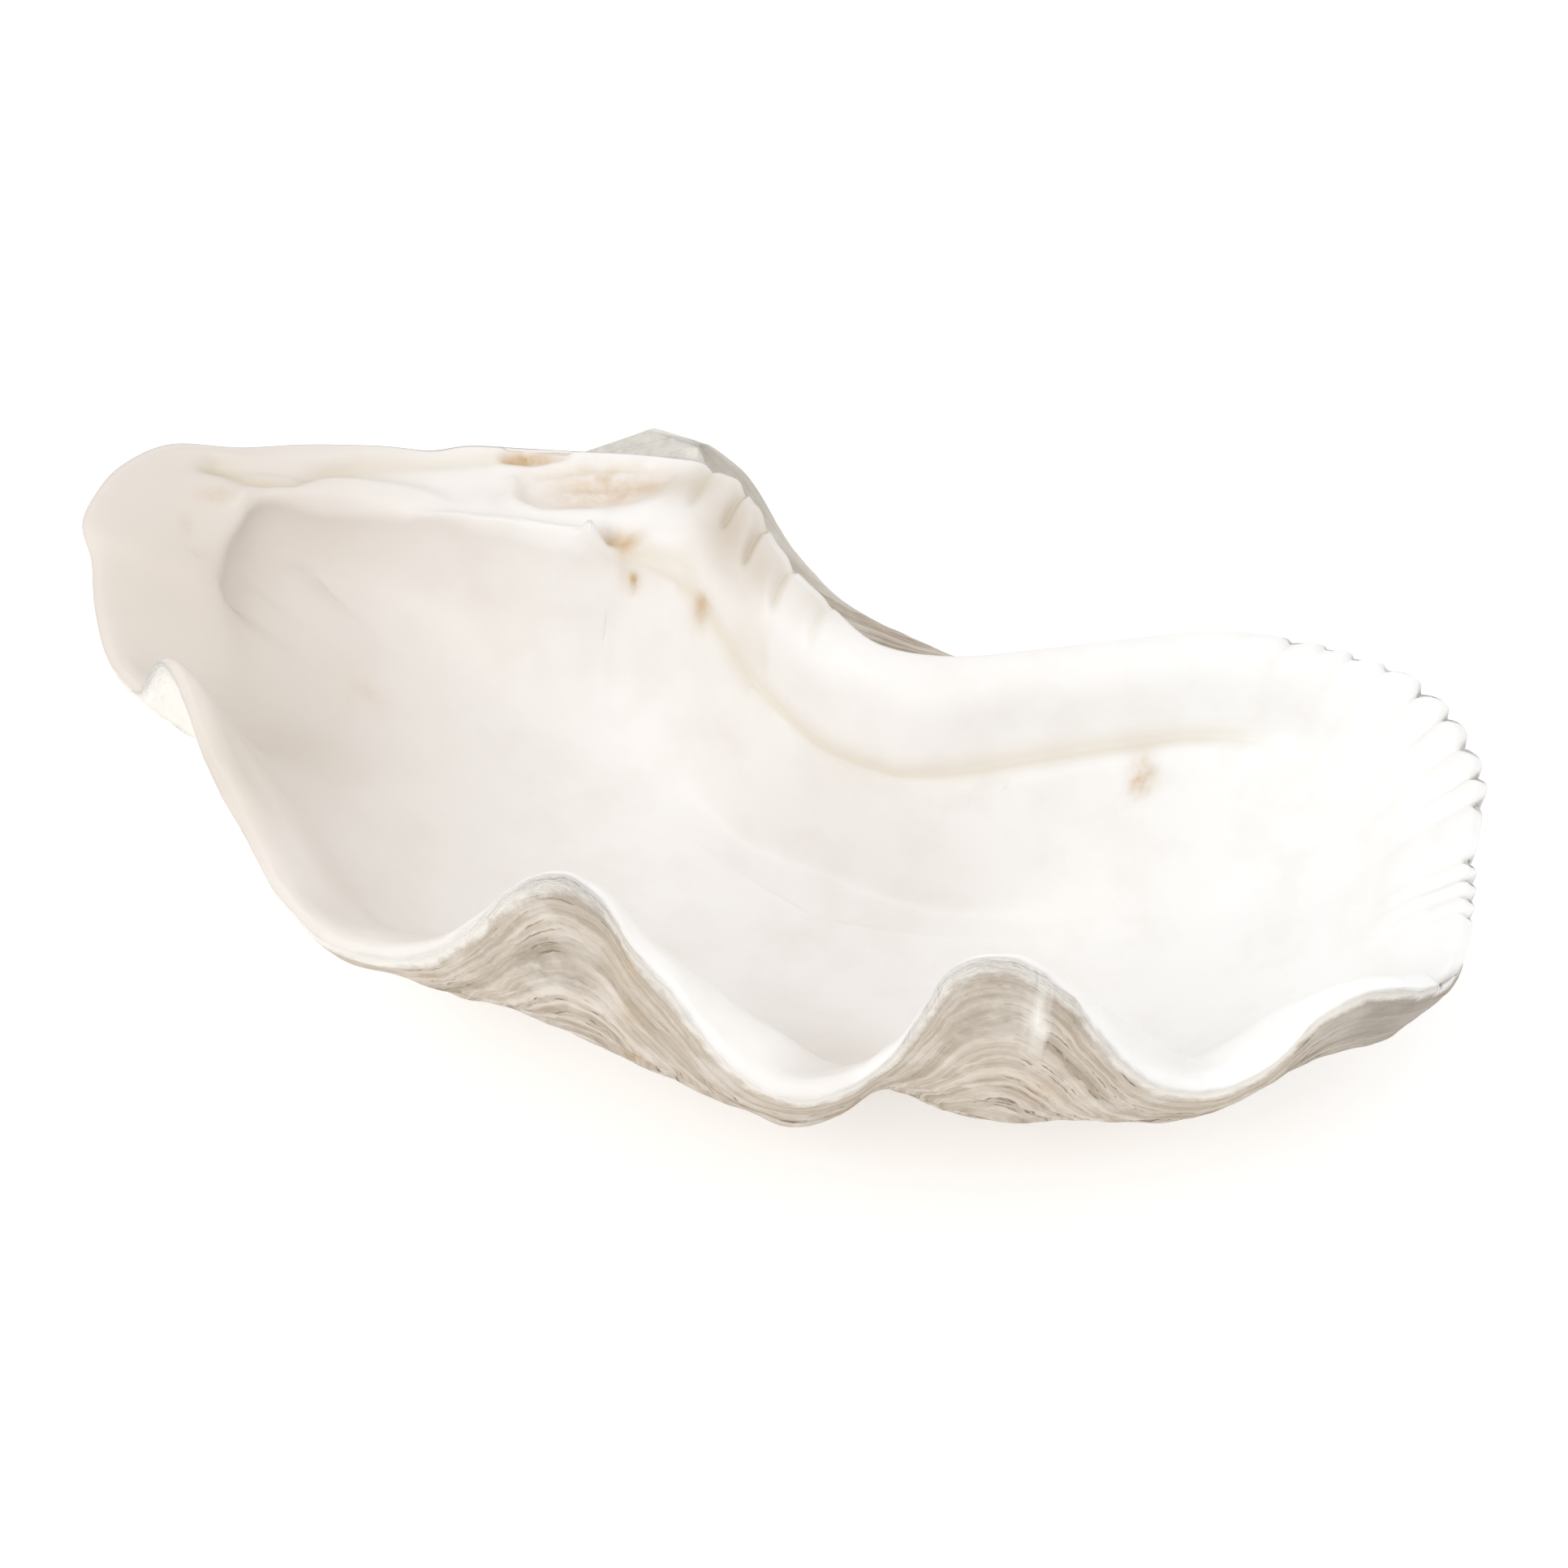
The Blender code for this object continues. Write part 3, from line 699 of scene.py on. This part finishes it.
def shell_lime(finish):
    """Shell lime, aragonite laid down by the animal.

    The inside was smoothed by its mantle: dense, cream to cool white, with a satin gloss. The
    outside is chalky and matt, in growth layers with brown lines where they end."""
    made = bpy.data.materials.new("shell_lime")
    made.use_nodes = True
    tree = made.node_tree
    shader = tree.nodes["Principled BSDF"]
    place = add(tree, "ShaderNodeTexCoord", "Object", {})
    split = add(tree, "ShaderNodeSeparateXYZ", "X", {"Vector": place}).node
    painted = {name: add(tree, "ShaderNodeAttribute", "Fac", {}, attribute_name=name)
               for name in PAINTED}
    follows = {"growth": painted["growth"], "X": split.outputs["X"]}

    clouds = {}
    for name, size, detail, low, high, least, most in CLOUDS:
        cloudy = add(tree, "ShaderNodeTexNoise", "Fac", {
            "Vector": place, "Scale": 1 / (size * MM), "Detail": detail,
            "Roughness": CLOUD_ROUGHNESS})
        clouds[name] = add(tree, "ShaderNodeMapRange", "Result", {
            "Value": cloudy, "From Min": low, "From Max": high, "To Min": least, "To Max": most})
    edges = {}
    for name, along, size, waver, start, full, most in EDGES:
        cloudy = add(tree, "ShaderNodeTexNoise", "Fac", {
            "Vector": place, "Scale": 1 / (size * MM), "Detail": CLOUD_DETAIL,
            "Roughness": CLOUD_ROUGHNESS})
        shift = add(tree, "ShaderNodeMapRange", "Result", {
            "Value": cloudy, "To Min": -waver * MM, "To Max": waver * MM})
        moved = add(tree, "ShaderNodeMath", "Value", {0: follows[along], 1: shift}, operation="ADD")
        edges[name] = add(tree, "ShaderNodeMapRange", "Result", {
            "Value": moved, "From Min": start * MM, "From Max": full * MM, "To Max": most})

    # Noise drawn out along the growth layers: wide bands, and thin lines where layers end.
    moved = add(tree, "ShaderNodeMath", "Value",
                {0: painted["growth"], 1: clouds["layer waver"]}, operation="ADD")
    step = add(tree, "ShaderNodeMath", "Value", {0: moved, 1: 1 / (BAND_WIDTH * MM)},
               operation="MULTIPLY")
    drawn_out = add(tree, "ShaderNodeCombineXYZ", "Vector", {
        "X": step, "Y": clouds["layer drift"], "Z": clouds["layer slip"]})
    bands = add(tree, "ShaderNodeTexNoise", "Fac", {
        "Vector": drawn_out, "Scale": 1.0, "Detail": 5.0, "Roughness": 0.6})
    lines = add(tree, "ShaderNodeTexNoise", "Fac", {
        "Vector": drawn_out, "Scale": 2.6, "Detail": 3.0, "Roughness": 0.7})

    ranges = {}
    for name, value, low, high, most in (
        ("pale bands", bands, 0.35, 0.65, 1), ("thin lines", lines, 0.40, 0.33, 1),
        ("creases", painted["dirt_and_shade"], 0, 1, 0.55),
        ("left of beak", split.outputs["X"], 0.0, -0.03, 1),
        ("hinge side", split.outputs["Y"], 0.12, 0.15, 1),
    ):
        ranges[name] = add(tree, "ShaderNodeMapRange", "Result", {
            "Value": value, "From Min": low, "From Max": high, "To Max": most})
    shares = {}
    for name, first, second in (
        ("blotchy stain", painted["stain"], clouds["stain blotches"]),
        ("brown lines", ranges["thin lines"], clouds["line patches"]),
        ("outer stain", painted["stain"], 0.8),
        ("soil", painted["dirt_and_shade"], clouds["soil patches"]),
    ):
        shares[name] = add(tree, "ShaderNodeMath", "Value", {0: first, 1: second},
                           operation="MULTIPLY")
    beak = add(tree, "ShaderNodeMath", "Value",
               {0: ranges["left of beak"], 1: ranges["hinge side"]}, operation="MULTIPLY")
    beak = add(tree, "ShaderNodeMath", "Value", {0: beak, 1: clouds["beak patches"]},
               operation="MULTIPLY")

    # Each face is a base colour with tints laid over it in turn. Inside, the left wall tint and the
    # beige patches are painted shade, and so is part of the crease tint.
    faces = []
    for base, coats in (
        (finish.cream, (
            (edges["cool end"], finish.cool_white), (edges["left wall shade"], finish.beige),
            (clouds["mottling"], finish.beige), (painted["painted_shade"], finish.painted_shade),
            (ranges["creases"], finish.crease), (shares["blotchy stain"], finish.stain),
        )),
        (finish.grey_beige, (
            (ranges["pale bands"], finish.pale), (shares["brown lines"], finish.brown_line),
            (clouds["bare lime"], finish.lip_white), (shares["outer stain"], finish.stain),
            (shares["soil"], finish.soil), (edges["bleached end"], finish.lip_white),
            (edges["aged beak"], finish.lip_white), (edges["dark corner"], finish.dark_corner),
            (edges["worn lip"], finish.lip_white), (beak, finish.lip_white),
            (painted["chalk"], finish.lip_white),
        )),
    ):
        colour = (*base, 1)
        for share, tint in coats:
            colour = add(tree, "ShaderNodeMix", "Result", {
                "Factor": share, "A": colour, "B": (*tint, 1)}, data_type="RGBA")
        faces.append(colour)
    colour = add(tree, "ShaderNodeMix", "Result", {
        "Factor": edges["outside"], "A": faces[0], "B": faces[1]}, data_type="RGBA")
    tree.links.new(colour, shader.inputs["Base Color"])

    # The inside keeps its satin, and the outside is matt.
    roughness = add(tree, "ShaderNodeMix", "Result", {
        "Factor": edges["outside"], "A": clouds["satin"], "B": 0.85})
    tree.links.new(roughness, shader.inputs["Roughness"])
    shader.inputs["IOR"].default_value = 1.53

    fine = add(tree, "ShaderNodeTexNoise", "Fac", {
        "Vector": place, "Scale": 1 / (2.5 * MM), "Detail": 6, "Roughness": CLOUD_ROUGHNESS})
    soft = add(tree, "ShaderNodeTexNoise", "Fac", {
        "Vector": place, "Scale": 1 / (12 * MM), "Detail": 2, "Roughness": CLOUD_ROUGHNESS})
    # Layers and grain on the outside only, about a mean of nothing, and a soft unevenness all over.
    relief = -0.67
    for share, pattern in ((0.5, bands), (0.5, lines), (0.35, fine)):
        relief = add(tree, "ShaderNodeMath", "Value", {0: pattern, 1: share, 2: relief},
                     operation="MULTIPLY_ADD")
    relief = add(tree, "ShaderNodeMath", "Value", {0: relief, 1: edges["outside"]},
                 operation="MULTIPLY")
    relief = add(tree, "ShaderNodeMath", "Value", {0: soft, 1: 0.10, 2: relief},
                 operation="MULTIPLY_ADD")
    bump = add(tree, "ShaderNodeBump", "Normal", {
        "Height": relief, "Strength": 0.7, "Distance": 0.0016})
    tree.links.new(bump, shader.inputs["Normal"])
    return made


def colour_property(name, description, code):
    return FloatVectorProperty(name=name, description=description, default=linear(code),
                               subtype="COLOR", min=0, max=1)


def length_property(name, description, millimetres):
    return FloatProperty(name=name, description=description, default=millimetres * MM,
                         unit="LENGTH", subtype="DISTANCE", precision=4)


class ClamShape(bpy.types.PropertyGroup):
    stations: IntProperty(name="Stations", description="Points round the rim", default=570)
    seed: IntProperty(name="Seed", description="Draw of the growth layers", default=4)
    lamella_width: length_property("Layer width", "Mean width of a growth layer", 6.5)
    lamella_height: length_property("Layer step", "Step at the end of a growth layer", 1.5)
    riblet_pitch: length_property("Riblet pitch", "Spacing of the riblets of the broad end", 16.0)
    riblet_height: length_property("Riblet height", "Height of those riblets", 3.8)
    tooth_pitch: length_property("Tooth pitch", "Spacing of the teeth beside the umbo", 14.0)
    tooth_height: FloatProperty(name="Tooth height", description="Height of the teeth against "
                                "their natural height", default=1.0, min=0, max=2)
    lip_wear: FloatProperty(name="Lip wear", description="Millimetres broken off the folds' lip",
                            default=1.5, min=0, max=3)


class ClamFinish(bpy.types.PropertyGroup):
    cream: colour_property("Cream", "Middle of the hollow", "F5F2EF")
    cool_white: colour_property("Cool white", "Broad end of the hollow", "F9F9F8")
    # Beige serves the real mottling and also the painted shade of the left wall.
    beige: colour_property("Beige", "Mottling and the left wall shade", "DDD4CB")
    # Colour of the broad patches of painted shade inside the hollow.
    painted_shade: colour_property("Wash", "Broad beige washes of the inner face", "C6B8A6")
    # Tint of creases and grooves: the roll's yellowish line, and painted shade in the grooves of
    # riblets and teeth.
    crease: colour_property("Crease", "Deposit in creases", "D4C6A6")
    stain: colour_property("Stain", "Yellow-brown stains", "C4A06A")
    grey_beige: colour_property("Grey beige", "Dark growth bands", "A89A88")
    pale: colour_property("Pale", "Light growth bands", "D3C8BB")
    brown_line: colour_property("Brown line", "Ends of the growth layers", "6E5947")
    dark_corner: colour_property("Dark corner", "Outside at the broad end", "928A82")
    soil: colour_property("Soil", "Grey soil in patches outside", "7E796E")
    lip_white: colour_property("Lip white", "Chalky worn lip", "F1EDE6")


class ClamStage(bpy.types.PropertyGroup):
    floor: colour_property("Floor", "Floor and backdrop", "FDFDFD")
    key_power: FloatProperty(name="Key light", description="Power of the key light in watts",
                             default=11, min=0, unit="POWER")
    fill_power: FloatProperty(name="Fill light", description="Power of the fill light in watts",
                              default=1.5, min=0, unit="POWER")
    glow: FloatProperty(name="Table glow", description="Light that the table gives off",
                        default=0.2, min=0)
    sky: FloatProperty(name="Sky", description="Strength of the even light", default=0.95, min=0)


# Attributes of the mesh: growth, stain, soil with the darker tint of grooves (partly painted
# shade), lime crusts, and the patches of painted shade.
PAINTED = ("growth", "stain", "dirt_and_shade", "chalk", "painted_shade")
CRUST_HEIGHT = 3.0  # millimetres that a crust of lime stands proud
SMOOTHINGS = 40
DEEP = 0.040  # metres in from the rim at which the smoothing of the hollow starts
DEEP_AT_HINGE = 0.075
HINGE_FROM = 0.085  # Y past which the hinge plate lies


def build_valve(shape, finish):
    rings, growth, crease = shell_surface(shape)
    stain, dirt_and_shade, chalk, painted_shade = tints(rings, growth)
    # Adds the crease tint: the roll's yellowish crease line, and painted shade in the grooves of
    # riblets and teeth.
    dirt_and_shade = np.maximum(dirt_and_shade, 0.8 * crease)
    rings = rest(rings + CRUST_HEIGHT * face_normals(rings) * chalk[:, :, None])
    rings[0] = rings[0].mean(0)
    rings[-1] = rings[-1].mean(0)
    shell = bmesh.new()
    layers = [shell.verts.layers.float.new(name) for name in PAINTED]
    around = rings.shape[1]
    bmesh.ops.create_grid(shell, x_segments=around, y_segments=len(rings) - 1, size=1)
    for vert in shell.verts:
        s = round((vert.co.x + 1) / 2 * around) % around
        r = round((vert.co.y + 1) / 2 * (len(rings) - 1))
        vert.co = rings[r, s]
        values = (growth[r, s] * MM, stain[r, s], dirt_and_shade[r, s], chalk[r, s], painted_shade[r, s])
        for field, value in zip(layers, values):
            vert[field] = value
    bmesh.ops.remove_doubles(shell, verts=shell.verts, dist=1e-6)
    deep = [vert for vert in shell.verts
            if vert[layers[0]] > (DEEP_AT_HINGE if vert.co.y > HINGE_FROM else DEEP)]
    for _ in range(SMOOTHINGS):
        bmesh.ops.smooth_vert(shell, verts=deep, factor=0.5, use_axis_x=True, use_axis_y=True,
                              use_axis_z=True)
    bmesh.ops.recalc_face_normals(shell, faces=shell.faces)
    for face in shell.faces:
        face.smooth = True
    mesh = bpy.data.meshes.new("giant_clam_valve")
    shell.to_mesh(mesh)
    shell.free()
    mesh.materials.append(shell_lime(finish))
    valve = bpy.data.objects.new("giant_clam_valve", mesh)
    bpy.context.scene.collection.objects.link(valve)
    return valve


FLOOR_HALF = 6  # metres from the middle of the floor to its edge
# Studio lights: name, place, size of the panel, all in metres.
LIGHTS = (("key", (-1.2, -1.1, 1.7), 1.4), ("fill", (1.4, 0.6, 1.8), 1.8))
LENS, SENSOR = 85, 36  # millimetres
CAMERA_RISE = 54  # degrees above the floor
CAMERA_AWAY = 1.58
CAMERA_AIM = (0.01006, -0.00668, 0.09588)


class CLAM_OT_valve(bpy.types.Operator):
    """Grow the valve and give it its shell finish"""

    bl_idname = "clam.valve"
    bl_label = "Clam valve"

    def execute(self, context):
        valve = build_valve(context.scene.clam_shape, context.scene.clam_finish)
        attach(valve, "root")
        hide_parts(NODE)
        return {"FINISHED"}


class CLAM_OT_stage(bpy.types.Operator):
    """Set the pale floor, the studio lights and the camera"""

    bl_idname = "clam.stage"
    bl_label = "Studio stage"

    def execute(self, context):
        stage = context.scene.clam_stage
        plane = bmesh.new()
        bmesh.ops.create_grid(plane, x_segments=1, y_segments=1, size=FLOOR_HALF)
        mesh = bpy.data.meshes.new("floor")
        plane.to_mesh(mesh)
        plane.free()
        paint = bpy.data.materials.new("lit_white_acrylic")
        paint.use_nodes = True
        shader = paint.node_tree.nodes["Principled BSDF"]
        shader.inputs["Base Color"].default_value = (*stage.floor, 1)
        shader.inputs["Roughness"].default_value = 0.9
        # A shooting table, softly lit from below, which keeps its shadows pale.
        shader.inputs["Emission Color"].default_value = (1, 1, 1, 1)
        shader.inputs["Emission Strength"].default_value = stage.glow
        mesh.materials.append(paint)
        floor = bpy.data.objects.new("floor", mesh)
        context.scene.collection.objects.link(floor)
        for (name, place, size), power in zip(LIGHTS, (stage.key_power, stage.fill_power)):
            light = bpy.data.lights.new(name, "AREA")
            light.size = size
            light.energy = power
            lamp = bpy.data.objects.new(name, light)
            lamp.location = place
            lamp.rotation_euler = (-Vector(place)).to_track_quat("-Z", "Y").to_euler()
            context.scene.collection.objects.link(lamp)
        world = bpy.data.worlds.new("even_light")
        world.use_nodes = True
        background = world.node_tree.nodes["Background"]
        background.inputs["Color"].default_value = (1, 1, 1, 1)
        background.inputs["Strength"].default_value = stage.sky
        context.scene.world = world
        context.scene.view_settings.view_transform = "Standard"
        lens = bpy.data.cameras.new("camera")
        lens.lens, lens.sensor_width = LENS, SENSOR
        camera = bpy.data.objects.new("camera", lens)
        up = math.radians(CAMERA_RISE)
        back = Vector((0, -math.cos(up), math.sin(up)))
        camera.location = Vector(CAMERA_AIM) + CAMERA_AWAY * back
        camera.rotation_euler = (-back).to_track_quat("-Z", "Y").to_euler()
        context.scene.collection.objects.link(camera)
        context.scene.camera = camera
        return {"FINISHED"}


class CLAM_PT_panel(bpy.types.Panel):
    bl_label = "Giant clam"
    bl_idname = "CLAM_PT_panel"
    bl_space_type = "VIEW_3D"
    bl_region_type = "UI"
    bl_category = "Clam"

    def draw(self, context):
        for group in (context.scene.clam_shape, context.scene.clam_finish,
                      context.scene.clam_stage):
            column = self.layout.column()
            for name in group.__annotations__:
                column.prop(group, name)
        for kind in (CLAM_OT_valve, CLAM_OT_stage):
            self.layout.operator(kind.bl_idname)


GROUPS = (("clam_shape", ClamShape), ("clam_finish", ClamFinish), ("clam_stage", ClamStage))
CLASSES = (ClamShape, ClamFinish, ClamStage, CLAM_OT_valve, CLAM_OT_stage, CLAM_PT_panel)


def register():
    for kind in CLASSES:
        bpy.utils.register_class(kind)
    for name, kind in GROUPS:
        setattr(bpy.types.Scene, name, PointerProperty(type=kind))


def unregister():
    for name, _ in GROUPS:
        delattr(bpy.types.Scene, name)
    for kind in reversed(CLASSES):
        bpy.utils.unregister_class(kind)


def main():
    register()
    bpy.ops.clam.valve()
    bpy.ops.clam.stage()


if __name__ == "__main__":
    main()
